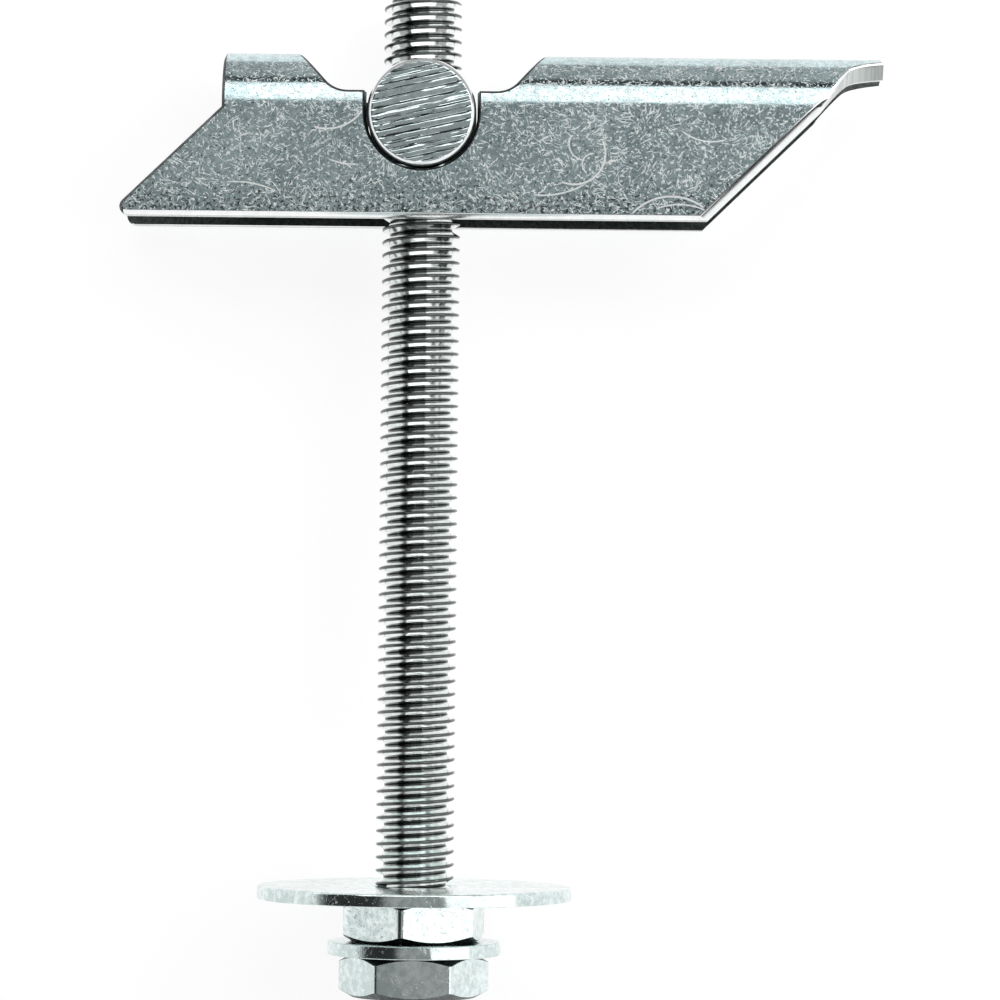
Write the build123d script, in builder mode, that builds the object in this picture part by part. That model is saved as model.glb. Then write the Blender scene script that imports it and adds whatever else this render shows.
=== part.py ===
"""Tilt toggle anchor, M6: a folded sheet toggle bar that tilts on a cross pin, the threaded
rod that the pin is screwed on, and the washers and nuts that clamp from the board's other side.

X runs along the toggle bar towards its heavy arm, Y along the rod towards the bar, and Z
up, along the pin: the anchor lies on its back. The origin is the pin's centre on the rod's
axis. Sizes are in millimetres. Threads are plain cylinders at the outer diameter.
"""

import os
from math import cos, pi, radians, sin, tan

from build123d import *

# Threaded rod
THREAD_D = 6.0
THREAD_PLAY = 0.05  # radial gap round the rod in the nuts and the cross pin
ROD_LENGTH = 80.0
ROD_STUB = 9.5  # from the pin's axis to the rod's upper end
ROD_POINT = 0.6  # chamfer on both ends of the rod

# Cross pin, a round nut
PIN_WALL = 1.15  # beside the rod
PIN_PROUD = 0.25  # past each flange
PIN_CHAMFER = 0.4

# Toggle bar, one sheet folded over the rod
SHEET = 1.5
ROD_SIDE_PLAY = 0.1  # gap between the rod and each flange
FOLD_RISE = 0.33  # from the pin's axis to where the round of the fold begins
FLANGE_DROP = 8.0  # from the pin's axis to the bearing edges
LIGHT_ARM = 23.8  # from the pin's axis to the light arm's foot, before its corner is rounded
LIGHT_FOOT_ROUND = 0.65
LIGHT_CUT_ANGLE = 44.0  # of the flanges' ends, from the bar's length
HEAVY_ARM = 21.75  # from the pin's axis to the heavy arm's foot
HEAVY_CUT_ANGLE = 44.3
SLOT_PLAY = 0.3  # radial gap between the pin and its slots

# Nose, the heavy arm's narrow square end, measured along the fold's outer face
NOSE_REACH = 35.25  # from the pin's axis
NOSE_WIDTH = 4.0
NOSE_EDGE_ANGLE = 60.0  # of the edges that run in from the flanges, from the bar's length
NOSE_FLARE = 1.5  # height over which those edges bend into the nose's sides
NOSE_SECTIONS = 9  # sections that carry a nose edge round the fold
CUT_MARGIN = 2.0  # how far a cut reaches past the sheet

# Window for the rod, cut straight through the fold
LEDGE_LENGTH = 2.25  # from the slot's side to the foot of the window's slanted side
LEDGE_RISE = 1.33  # from the start of the fold's round up to the ledge
WINDOW_ANGLE = 50.0  # of the slanted sides, from the bar's length
WINDOW_FOOT_ROUND = 2.2

# Washers and nuts
ROD_END = 3.4  # length of the rod below the lock nut
WASHER_HOLE_PLAY = 0.2  # radial gap between the rod and a washer
LARGE_WASHER_D = 24.0
LARGE_WASHER_T = 1.0
SMALL_WASHER_D = 13.2
SMALL_WASHER_T = 1.0
NUT_FLATS = 10.0
NUT_HEIGHT = 3.2
NUT_FACE_SHARE = 0.95  # the round end face's diameter over the width across flats
NUT_CHAMFER_ANGLE = 30.0
NUT_COUNTERSINK = 0.4
CLAMP_NUT_TURN = -21.0
LOCK_NUT_TURN = 0.0

# Sizes that follow
THREAD_R = THREAD_D / 2
TAPPED_R = THREAD_R + THREAD_PLAY
WASHER_HOLE_R = THREAD_R + WASHER_HOLE_PLAY
PIN_R = THREAD_R + PIN_WALL
SLOT_R = PIN_R + SLOT_PLAY
INNER_R = THREAD_R + ROD_SIDE_PLAY
OUTER_R = INNER_R + SHEET
PIN_LENGTH = 2 * (OUTER_R + PIN_PROUD)
RIDGE_Y = FOLD_RISE + OUTER_R
FLANGE_HEIGHT = FLANGE_DROP + FOLD_RISE
LIGHT_SHOULDER = LIGHT_ARM - FLANGE_HEIGHT / tan(radians(LIGHT_CUT_ANGLE))
HEAVY_SHOULDER = HEAVY_ARM + FLANGE_HEIGHT / tan(radians(HEAVY_CUT_ANGLE))
NOSE_HEIGHT = OUTER_R * pi / 2 - NOSE_WIDTH / 2
NOSE_EDGE_RUN = NOSE_HEIGHT / tan(radians(NOSE_EDGE_ANGLE))
NOSE_BEND = (NOSE_REACH - HEAVY_SHOULDER - NOSE_EDGE_RUN) / NOSE_FLARE**2
LEDGE_Y = FOLD_RISE + LEDGE_RISE
WINDOW_FOOT = SLOT_R + LEDGE_LENGTH
WINDOW_TOP = RIDGE_Y + CUT_MARGIN
WINDOW_TOP_HALF = WINDOW_FOOT + (WINDOW_TOP - LEDGE_Y) / tan(radians(WINDOW_ANGLE))
LOCK_NUT_Y = ROD_STUB - ROD_LENGTH + ROD_END + NUT_HEIGHT
SMALL_WASHER_Y = LOCK_NUT_Y + SMALL_WASHER_T
CLAMP_NUT_Y = SMALL_WASHER_Y + NUT_HEIGHT
LARGE_WASHER_Y = CLAMP_NUT_Y + LARGE_WASHER_T


def down_rod(y: float) -> Plane:
    """The plane square to the rod at height y, its normal pointing down the rod."""
    return Plane(origin=(0, y, 0), x_dir=(1, 0, 0), z_dir=(0, -1, 0))


def fold_plane(height: float, side: int) -> Plane:
    """The plane through the fold's axis that crosses the sheet square.

    The height is measured along the outer face from the start of the round. The side is 1
    on the upper flange and -1 on the lower. The plane's x runs along the bar, its y outwards.
    """
    angle = height / OUTER_R
    out_y = sin(angle)
    out_z = side * cos(angle)
    return Plane(origin=(0, FOLD_RISE, 0), x_dir=(1, 0, 0), z_dir=(0, -out_z, out_y))


def nose_edge(height: float) -> float:
    """Where the heavy arm ends along the bar, at a height from the start of the round."""
    flare = max(0, height - NOSE_HEIGHT + NOSE_FLARE)
    return HEAVY_SHOULDER + height / tan(radians(NOSE_EDGE_ANGLE)) + NOSE_BEND * flare**2


def cut_beside_nose(side: int) -> None:
    """Cut the fold away beyond the nose's edge on one side."""
    sections = []
    for step in range(NOSE_SECTIONS):
        height = NOSE_HEIGHT * step / (NOSE_SECTIONS - 1)
        start = nose_edge(height)
        with BuildSketch(fold_plane(height, side)) as section:
            with Locations((start, INNER_R - CUT_MARGIN)):
                Rectangle(NOSE_REACH + CUT_MARGIN - start, SHEET + 2 * CUT_MARGIN, align=Align.MIN)
        sections.append(section.sketch)
    loft(sections, mode=Mode.SUBTRACT)


def washer(y: float, diameter: float, thickness: float) -> Part:
    """A flat washer whose upper face is at height y on the rod."""
    with BuildPart() as disc:
        with BuildSketch(down_rod(y)):
            Circle(diameter / 2)
            Circle(WASHER_HOLE_R, mode=Mode.SUBTRACT)
        extrude(amount=thickness)
    return disc.part


def thin_nut(y: float, turn: float) -> Part:
    """A thin hexagon nut, chamfered at both ends, whose upper face is at height y on the rod."""
    corner_r = NUT_FLATS / 2 / cos(radians(30))
    face_r = NUT_FACE_SHARE * NUT_FLATS / 2
    drop = (corner_r - face_r) * tan(radians(NUT_CHAMFER_ANGLE))
    with BuildPart() as nut:
        with BuildSketch(down_rod(y)):
            RegularPolygon(radius=NUT_FLATS / 2, side_count=6, major_radius=False, rotation=turn)
        extrude(amount=NUT_HEIGHT)
        with BuildSketch():
            with BuildLine():
                Polyline(
                    (0, y),
                    (face_r, y),
                    (corner_r, y - drop),
                    (corner_r, y - NUT_HEIGHT + drop),
                    (face_r, y - NUT_HEIGHT),
                    (0, y - NUT_HEIGHT),
                    close=True,
                )
            make_face()
        revolve(axis=Axis.Y, mode=Mode.INTERSECT)
        with BuildSketch(down_rod(y)):
            Circle(TAPPED_R)
        extrude(amount=NUT_HEIGHT, mode=Mode.SUBTRACT)
        bore_rims = nut.edges().filter_by(GeomType.CIRCLE).filter_by(
            lambda edge: abs(edge.radius - TAPPED_R) < THREAD_PLAY
        )
        chamfer(bore_rims, NUT_COUNTERSINK)
    return nut.part


with BuildPart() as threaded_rod:
    with BuildSketch(down_rod(ROD_STUB)):
        Circle(THREAD_R)
    extrude(amount=ROD_LENGTH)
    chamfer(threaded_rod.edges().filter_by(GeomType.CIRCLE), ROD_POINT)

with BuildPart() as cross_pin:
    with BuildSketch(Plane.XY.offset(-PIN_LENGTH / 2)):
        Circle(PIN_R)
    extrude(amount=PIN_LENGTH)
    chamfer(cross_pin.edges().filter_by(GeomType.CIRCLE), PIN_CHAMFER)
    with BuildSketch(down_rod(PIN_R)):
        Circle(TAPPED_R)
    extrude(amount=2 * PIN_R, mode=Mode.SUBTRACT)

with BuildPart() as toggle_bar:
    # The sheet's section, folded over the rod and open towards the board
    with BuildSketch(Plane.YZ.offset(-LIGHT_ARM)):
        with BuildLine():
            Polyline((-FLANGE_DROP, OUTER_R), (-FLANGE_DROP, INNER_R), (FOLD_RISE, INNER_R))
            ThreePointArc((FOLD_RISE, INNER_R), (FOLD_RISE + INNER_R, 0), (FOLD_RISE, -INNER_R))
            Polyline((FOLD_RISE, -INNER_R), (-FLANGE_DROP, -INNER_R), (-FLANGE_DROP, -OUTER_R))
            Line((-FLANGE_DROP, -OUTER_R), (FOLD_RISE, -OUTER_R))
            ThreePointArc((FOLD_RISE, -OUTER_R), (RIDGE_Y, 0), (FOLD_RISE, OUTER_R))
            Line((FOLD_RISE, OUTER_R), (-FLANGE_DROP, OUTER_R))
        make_face()
    extrude(amount=LIGHT_ARM + NOSE_REACH)
    # The flanges' slanted ends and the fold's square ends
    with BuildSketch() as outline:
        with BuildLine():
            Polyline(
                (-LIGHT_ARM, -FLANGE_DROP),
                (HEAVY_ARM, -FLANGE_DROP),
                (HEAVY_SHOULDER, FOLD_RISE),
                (NOSE_REACH, FOLD_RISE),
                (NOSE_REACH, RIDGE_Y),
                (-LIGHT_SHOULDER, RIDGE_Y),
                (-LIGHT_SHOULDER, FOLD_RISE),
                close=True,
            )
        make_face()
        fillet(outline.vertices().sort_by(Axis.X)[0], LIGHT_FOOT_ROUND)
    extrude(amount=OUTER_R, both=True, mode=Mode.INTERSECT)
    for flange_side in (1, -1):
        cut_beside_nose(flange_side)
    # The window
    with BuildSketch() as window:
        with BuildLine():
            Polyline(
                (-WINDOW_FOOT, LEDGE_Y),
                (WINDOW_FOOT, LEDGE_Y),
                (WINDOW_TOP_HALF, WINDOW_TOP),
                (-WINDOW_TOP_HALF, WINDOW_TOP),
                close=True,
            )
        make_face()
        fillet(window.vertices().group_by(Axis.Y)[0], WINDOW_FOOT_ROUND)
    extrude(amount=OUTER_R + CUT_MARGIN, both=True, mode=Mode.SUBTRACT)
    # The slots that the pin sits in, open to the window
    with BuildSketch():
        Circle(SLOT_R)
        Rectangle(2 * SLOT_R, RIDGE_Y, align=(Align.CENTER, Align.MIN))
    extrude(amount=OUTER_R + CUT_MARGIN, both=True, mode=Mode.SUBTRACT)

parts = {
    "threaded_rod": threaded_rod.part,
    "cross_pin": cross_pin.part,
    "toggle_bar": toggle_bar.part,
    "large_washer": washer(LARGE_WASHER_Y, LARGE_WASHER_D, LARGE_WASHER_T),
    "clamp_nut": thin_nut(CLAMP_NUT_Y, CLAMP_NUT_TURN),
    "small_washer": washer(SMALL_WASHER_Y, SMALL_WASHER_D, SMALL_WASHER_T),
    "lock_nut": thin_nut(LOCK_NUT_Y, LOCK_NUT_TURN),
}

os.makedirs("parts", exist_ok=True)
for name, part in parts.items():
    part.label = name
    export_step(part, f"parts/{name}.step")
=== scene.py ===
"""Visual model of an M6 tilt toggle anchor with bright zinc plating.

A folded sheet bar tilts on a cross pin, the pin is screwed on a threaded rod, and two thin
nuts with flat washers clamp from below. Each class builds one kind of piece in the frame of
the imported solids, in metres: X along the bar, Y up the rod, Z up from the floor.
"""

import logging
import math
from collections.abc import Callable, Iterable
from dataclasses import dataclass
from enum import Enum
from typing import TypeVar

import bmesh
import bpy
from mathutils import Euler, Matrix, Vector


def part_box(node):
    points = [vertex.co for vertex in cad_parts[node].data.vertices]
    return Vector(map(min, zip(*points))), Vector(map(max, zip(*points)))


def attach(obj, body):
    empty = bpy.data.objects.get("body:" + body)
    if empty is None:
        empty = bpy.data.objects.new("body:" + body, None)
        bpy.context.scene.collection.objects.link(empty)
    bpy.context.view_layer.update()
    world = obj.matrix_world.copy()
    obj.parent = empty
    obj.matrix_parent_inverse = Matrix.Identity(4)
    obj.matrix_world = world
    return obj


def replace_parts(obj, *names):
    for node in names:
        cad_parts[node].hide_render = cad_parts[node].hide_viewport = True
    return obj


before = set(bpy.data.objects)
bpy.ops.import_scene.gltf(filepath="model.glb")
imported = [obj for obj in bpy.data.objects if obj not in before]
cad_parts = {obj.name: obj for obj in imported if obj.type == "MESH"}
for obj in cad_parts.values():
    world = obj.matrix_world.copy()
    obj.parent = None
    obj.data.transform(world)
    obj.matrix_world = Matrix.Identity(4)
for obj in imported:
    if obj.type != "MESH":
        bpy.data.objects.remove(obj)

log = logging.getLogger("tilt_toggle_anchor")

MM = 0.001
Span = tuple[float, float]
Point = tuple[float, float]
Triple = tuple[float, float, float]
Tint = tuple[float, float, float, float]
Socket = bpy.types.NodeSocket
Piece = bpy.types.Object
Corner = TypeVar("Corner")


class Slot(Enum):
    """Names of the material slots."""

    SHEET = "zinc_sheet"
    ROD = "zinc_rod"
    SAWN = "sawn_steel"
    HARDWARE = "zinc_hardware"


class Side(Enum):
    """The two ends of a piece along its axis."""

    UPPER = 1
    LOWER = -1


# ---------------------------------------------------------------- node helpers


@dataclass
class NodeSheet:
    """A node tree with short calls for adding and wiring nodes."""

    tree: bpy.types.NodeTree

    def add(self, kind: str, **settings: object) -> bpy.types.Node:
        """Add a node.

        Args:
            kind: Blender's name of the node type.
            settings: Attributes of the node, such as operation.

        Returns:
            The new node.
        """
        node = self.tree.nodes.new(kind)
        for name, value in settings.items():
            setattr(node, name, value)
        return node

    def put(self, target: Socket, source: object) -> None:
        """Set an input to a value, or wire an output to it.

        Args:
            target: The input socket.
            source: A number, a tuple or an output socket.
        """
        if isinstance(source, Socket):
            self.tree.links.new(source, target)
        else:
            target.default_value = source

    def math(self, operation: str, *values: object, clamp: bool = False) -> Socket:
        """Add a Math node.

        Args:
            operation: The Math node's operation.
            values: Its inputs, as numbers or sockets.
            clamp: Whether the result is held between 0 and 1.

        Returns:
            The result's socket.
        """
        node = self.add("ShaderNodeMath", operation=operation, use_clamp=clamp)
        for index, value in enumerate(values):
            self.put(node.inputs[index], value)
        return node.outputs[0]

    def vector_math(self, operation: str, first: object, second: object = None) -> Socket:
        """Add a Vector Math node.

        Args:
            operation: The Vector Math node's operation.
            first: Its first vector.
            second: Its second vector, or the factor where the operation is SCALE.

        Returns:
            The result's socket.
        """
        node = self.add("ShaderNodeVectorMath", operation=operation)
        self.put(node.inputs[0], first)
        if second is not None:
            self.put(node.inputs["Scale" if operation == "SCALE" else 1], second)
        return node.outputs["Value" if operation in ("LENGTH", "DOT_PRODUCT") else "Vector"]

    def split(self, vector: object) -> list[Socket]:
        """Add a Separate XYZ node.

        Args:
            vector: The vector.

        Returns:
            The sockets of its X, Y and Z.
        """
        node = self.add("ShaderNodeSeparateXYZ")
        self.put(node.inputs[0], vector)
        return list(node.outputs)

    def remap(self, value: object, span: Span, result: Span = (0.0, 1.0)) -> Socket:
        """Map a value from one range to another with a smooth step.

        Args:
            value: The value to map.
            span: Start and end of its range.
            result: What the start and the end give.

        Returns:
            The mapped value's socket.
        """
        node = self.add("ShaderNodeMapRange", interpolation_type="SMOOTHSTEP")
        for index, item in enumerate((value, *span, *result)):
            self.put(node.inputs[index], item)
        return node.outputs[0]

    def excess(self, value: object, limit: object, gain: float) -> Socket:
        """How far a value passes a limit, times a gain and at most 1."""
        return self.math("MULTIPLY", self.math("SUBTRACT", value, limit), gain, clamp=True)

    def noise(
        self,
        vector: object,
        scale: float,
        detail: float = 2.0,
        rough: float = 0.5,
        output: str = "Fac",
    ) -> Socket:
        """Add a noise texture.

        Args:
            vector: The coordinates.
            scale: Cells in a unit of the coordinates.
            detail: Octaves of finer noise.
            rough: Share of each finer octave.
            output: Fac for a value and Color for three.

        Returns:
            The noise's socket.
        """
        node = self.add("ShaderNodeTexNoise")
        self.put(node.inputs["Vector"], vector)
        node.inputs["Scale"].default_value = scale
        node.inputs["Detail"].default_value = detail
        node.inputs["Roughness"].default_value = rough
        return node.outputs[output]

    def stretched(self, vector: object, turn: float, scale: Triple = (1.0, 1.0, 1.0)) -> Socket:
        """Turn coordinates about Z and stretch them.

        Args:
            vector: The coordinates.
            turn: Angle in radians.
            scale: Factors along the turned axes.

        Returns:
            The new coordinates' socket.
        """
        turned = self.add("ShaderNodeMapping", vector_type="POINT")
        self.put(turned.inputs["Vector"], vector)
        turned.inputs["Rotation"].default_value = (0.0, 0.0, turn)
        scaled = self.add("ShaderNodeMapping", vector_type="POINT")
        self.put(scaled.inputs["Vector"], turned.outputs["Vector"])
        scaled.inputs["Scale"].default_value = scale
        return scaled.outputs["Vector"]

    def blend(self, factor: object, first: object, second: object) -> Socket:
        """Mix two colours.

        Args:
            factor: 0 for the first and 1 for the second.
            first: A colour or socket.
            second: A colour or socket.

        Returns:
            The mixed colour's socket.
        """
        node = self.add("ShaderNodeMix", data_type="RGBA")
        self.put(node.inputs[0], factor)
        self.put(node.inputs[6], first)
        self.put(node.inputs[7], second)
        return node.outputs[2]


class EffectGroup:
    """A node group with named inputs and outputs, built once and placed in several materials."""

    title = "effect"
    inputs: tuple[tuple[str, str, float], ...] = ()
    outputs: tuple[tuple[str, str], ...] = ()

    def tree(self) -> bpy.types.NodeTree:
        """Make the group's tree, or find the one that is already made.

        Returns:
            The tree.
        """
        made = bpy.data.node_groups.get(self.title)
        if made:
            return made
        group = bpy.data.node_groups.new(self.title, "ShaderNodeTree")
        for name, kind, default in self.inputs:
            socket = group.interface.new_socket(name, in_out="INPUT", socket_type=kind)
            if kind == "NodeSocketFloat":
                socket.default_value = default
        for name, kind in self.outputs:
            group.interface.new_socket(name, in_out="OUTPUT", socket_type=kind)
        sheet = NodeSheet(group)
        entry = sheet.add("NodeGroupInput")
        leave = sheet.add("NodeGroupOutput")
        for name, result in self.wire(sheet, entry).items():
            sheet.put(leave.inputs[name], result)
        return group

    def wire(self, sheet: NodeSheet, entry: bpy.types.Node) -> dict[str, Socket]:
        """Wire the group's inside.

        Args:
            sheet: The group's node sheet.
            entry: The group's input node.

        Returns:
            The output sockets by name.
        """
        raise NotImplementedError

    def place(self, sheet: NodeSheet, **values: object) -> bpy.types.Node:
        """Place the group in a material.

        Args:
            sheet: The material's node sheet.
            values: The group's inputs by name.

        Returns:
            The group node.
        """
        node = sheet.add("ShaderNodeGroup", node_tree=self.tree())
        for name, value in values.items():
            sheet.put(node.inputs[name], value)
        return node


class FineScratches(EffectGroup):
    """Thin, slightly curved scratches in clusters, as tumbling in a barrel leaves.

    Each angle has a layer of its own. Scales are in cells a metre, and the limits are for no
    scratches and for the most.
    """

    title = "fine_scratches"
    inputs = (
        ("Vector", "NodeSocketVector", 0.0),
        ("Amount", "NodeSocketFloat", 0.5),
    )
    outputs = (("Mask", "NodeSocketFloat"),)
    turns = (0.3, 0.95, 1.7, 2.35, 2.9)
    cells = (950.0, 8600.0, 1000.0)
    cell_growth = 0.17
    warp_scale = 420.0
    warp_reach = 1.6 * MM
    cluster_scale = 420.0
    cluster_growth = 90.0
    cluster_range = (0.38, 0.68)
    cluster_lift = (-0.06, 0.05)
    limits = (0.82, 0.62)
    gain = 15.0

    def wire(self, sheet: NodeSheet, entry: bpy.types.Node) -> dict[str, Socket]:
        """Wire turned layers of long narrow noise cells on warped coordinates.

        Args:
            sheet: The group's node sheet.
            entry: The group's input node.

        Returns:
            The scratches' mask.
        """
        vector = entry.outputs["Vector"]
        warp = sheet.noise(vector, self.warp_scale, output="Color")
        warped = sheet.vector_math("ADD", vector, sheet.vector_math("SCALE", warp, self.warp_reach))
        limit = sheet.remap(entry.outputs["Amount"], (0.0, 1.0), self.limits)
        mask: object = 0.0
        for index, turn in enumerate(self.turns):
            layer = sheet.stretched(warped, turn, self.cells)
            lines = sheet.noise(layer, 1.0 + self.cell_growth * index, detail=1.0)
            spots = self.cluster_scale + self.cluster_growth * index
            clusters = sheet.noise(sheet.stretched(vector, 2.0 * turn), spots, detail=1.0)
            lines = sheet.math("ADD", lines, sheet.remap(clusters, self.cluster_range, self.cluster_lift))
            mask = sheet.math("MAXIMUM", mask, sheet.excess(lines, limit, self.gain))
        return {"Mask": mask}


class PlatedTone(EffectGroup):
    """Slow and quick changes of tone in a zinc layer, with small dark specks and bright glints, which are
    painted highlights.

    Scales are in cells a metre, and the limits are for no specks or glints and for the most.
    """

    title = "plated_tone"
    inputs = (
        ("Vector", "NodeSocketVector", 0.0),
        ("Speck", "NodeSocketFloat", 0.5),
        ("Glint", "NodeSocketFloat", 0.5),
    )
    outputs = (("Tone", "NodeSocketFloat"), ("Specks", "NodeSocketFloat"), ("Glints", "NodeSocketFloat"))
    rough = 0.6
    slow_scale = 170.0
    slow_share = 0.45
    quick_scale = 1900.0
    speck_scale = 5200.0
    speck_limits = (0.78, 0.52)
    speck_gain = 9.0
    glint_turn = 0.8
    glint_scale = 3600.0
    glint_limits = (0.8, 0.55)
    glint_gain = 14.0

    def wire(self, sheet: NodeSheet, entry: bpy.types.Node) -> dict[str, Socket]:
        """Wire two sizes of noise for the tone, and a fine one each for the specks and the glints.

        Args:
            sheet: The group's node sheet.
            entry: The group's input node.

        Returns:
            The tone and the masks of the specks and the glints.
        """
        vector = entry.outputs["Vector"]
        slow = sheet.noise(vector, self.slow_scale, detail=3.0, rough=self.rough)
        quick = sheet.noise(vector, self.quick_scale, rough=self.rough)
        slow = sheet.math("MULTIPLY", slow, self.slow_share)
        quick = sheet.math("MULTIPLY", quick, 1.0 - self.slow_share)
        dots = sheet.noise(vector, self.speck_scale)
        dot_limit = sheet.remap(entry.outputs["Speck"], (0.0, 1.0), self.speck_limits)
        sparks = sheet.noise(sheet.stretched(vector, self.glint_turn), self.glint_scale, rough=self.rough)
        spark_limit = sheet.remap(entry.outputs["Glint"], (0.0, 1.0), self.glint_limits)
        return {
            "Tone": sheet.math("ADD", slow, quick),
            "Specks": sheet.excess(dots, dot_limit, self.speck_gain),
            "Glints": sheet.excess(sparks, spark_limit, self.glint_gain),
        }


# ---------------------------------------------------------------- finishes


@dataclass(frozen=True)
class ZincFinish:
    """Bright zinc plating on steel.

    The tints are linear colours, and each range is the part of a noise that an effect runs
    over. The sizes of the shared effects are set by their node groups.
    """

    title: str
    light: Tint = (0.82, 0.92, 0.91, 1.0)
    dark: Tint = (0.62, 0.71, 0.7, 1.0)
    tone_range: Span = (0.36, 0.64)
    scratch_and_glint_tint: Tint = (0.95, 0.98, 0.97, 1.0)
    speck_tint: Tint = (0.05, 0.07, 0.065, 1.0)
    gloss_low: float = 0.1
    gloss_high: float = 0.18
    gloss_range: Span = (0.3, 0.7)
    scratch_and_glint_gloss: float = 0.3
    scratch_and_glint_depth: float = 0.5
    metal: float = 1.0
    scratch_and_glint_metal: float = 0.25
    scratches: float = 0.5
    scratch_and_glint_share: float = 0.8
    specks: float = 0.4
    # Glints are painted highlights: white dots mixed into the colour together with the scratches.
    glints: float = 0.3
    relief: float = 0.25
    relief_depth: float = 0.04 * MM

    def material(self) -> bpy.types.Material:
        """Make the material, or find the one that is already made.

        Returns:
            The material.
        """
        made = bpy.data.materials.get(self.title)
        if made:
            return made
        material = bpy.data.materials.new(self.title)
        material.use_nodes = True
        sheet = NodeSheet(material.node_tree)
        surface = material.node_tree.nodes["Principled BSDF"]
        vector = self.coordinates(sheet)
        tone = PlatedTone().place(sheet, Vector=vector, Speck=self.specks, Glint=self.glints)
        scratch = FineScratches().place(sheet, Vector=vector, Amount=self.scratches)
        # One mask of real scratches and painted highlights (the glints), which whitens the colour.
        scratches_and_glints = sheet.math("MAXIMUM", scratch.outputs["Mask"], tone.outputs["Glints"])
        scratches_and_glints = self.local_scars(sheet, scratches_and_glints)
        gloss = sheet.remap(tone.outputs["Tone"], self.gloss_range, (self.gloss_high, self.gloss_low))
        rough = sheet.math("ADD", gloss, sheet.math("MULTIPLY", scratches_and_glints, self.scratch_and_glint_gloss))
        metal = sheet.remap(scratches_and_glints, (0.0, 1.0), (self.metal, self.scratch_and_glint_metal * self.metal))
        sheet.put(surface.inputs["Base Color"], self.colour(sheet, tone, scratches_and_glints))
        sheet.put(surface.inputs["Roughness"], rough)
        sheet.put(surface.inputs["Metallic"], metal)
        sheet.put(surface.inputs["Normal"], self.normal(sheet, tone, scratches_and_glints))
        return material

    def colour(self, sheet: NodeSheet, tone: bpy.types.Node, scratches_and_glints: Socket) -> Socket:
        """Wire the base colour: the tone, the specks, the finish's own tint, and the scratches with the
        painted glints.

        Args:
            sheet: The material's node sheet.
            tone: The plated tone's group node.
            scratches_and_glints: The mask of the scratches and of the painted glints.

        Returns:
            The colour's socket.
        """
        colour = sheet.blend(sheet.remap(tone.outputs["Tone"], self.tone_range), self.dark, self.light)
        colour = sheet.blend(tone.outputs["Specks"], colour, self.speck_tint)
        colour = self.local_tint(sheet, colour)
        return sheet.blend(sheet.math("MULTIPLY", scratches_and_glints, self.scratch_and_glint_share), colour, self.scratch_and_glint_tint)

    def normal(self, sheet: NodeSheet, tone: bpy.types.Node, scratches_and_glints: Socket) -> Socket:
        """Wire the relief of the tone, the scratches and glints, and the finish's own marks.

        Args:
            sheet: The material's node sheet.
            tone: The plated tone's group node.
            scratches_and_glints: The mask of the scratches and of the painted glints.

        Returns:
            The normal's socket.
        """
        height = sheet.math("SUBTRACT", tone.outputs["Tone"], sheet.math("MULTIPLY", scratches_and_glints, self.scratch_and_glint_depth))
        bump = sheet.add("ShaderNodeBump")
        bump.inputs["Strength"].default_value = self.relief
        bump.inputs["Distance"].default_value = self.relief_depth
        sheet.put(bump.inputs["Height"], self.local_height(sheet, height))
        return bump.outputs["Normal"]

    def coordinates(self, sheet: NodeSheet) -> Socket:
        """Place on the piece, in metres."""
        return sheet.add("ShaderNodeTexCoord").outputs["Object"]

    def local_scars(self, sheet: NodeSheet, scratches_and_glints: Socket) -> Socket:
        """Scratches that belong to one finish only."""
        return scratches_and_glints

    def local_tint(self, sheet: NodeSheet, colour: Socket) -> Socket:
        """Tint that belongs to one finish only."""
        return colour

    def local_height(self, sheet: NodeSheet, height: Socket) -> Socket:
        """Relief that belongs to one finish only."""
        return height


@dataclass(frozen=True)
class Scrape:
    """A long curved scratch on the blank, part of a circle, in millimetres and degrees.

    The core is the share of the width that is full, and the fade is how softly the ends stop.
    """

    centre: Point
    radius: float
    middle: float
    spread: float
    width: float = 0.08
    core: float = 0.3
    fade: float = 0.05

    def mask(self, sheet: NodeSheet, place: Socket) -> Socket:
        """Where the scratch lies.

        Args:
            sheet: The material's node sheet.
            place: Coordinates on the blank, in metres.

        Returns:
            The mask.
        """
        way = math.radians(self.middle)
        limit = math.cos(math.radians(self.spread))
        offset = sheet.vector_math("SUBTRACT", place, (self.centre[0] * MM, self.centre[1] * MM, 0.0))
        length = sheet.vector_math("LENGTH", offset)
        reach = sheet.vector_math("DOT_PRODUCT", offset, (math.cos(way), math.sin(way), 0.0))
        gap = sheet.math("ABSOLUTE", sheet.math("SUBTRACT", length, self.radius * MM))
        line = sheet.remap(gap, (self.core * self.width * MM, self.width * MM), (1.0, 0.0))
        ends = sheet.remap(sheet.math("DIVIDE", reach, length), (limit, limit + self.fade))
        return sheet.math("MULTIPLY", line, ends)


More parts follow.
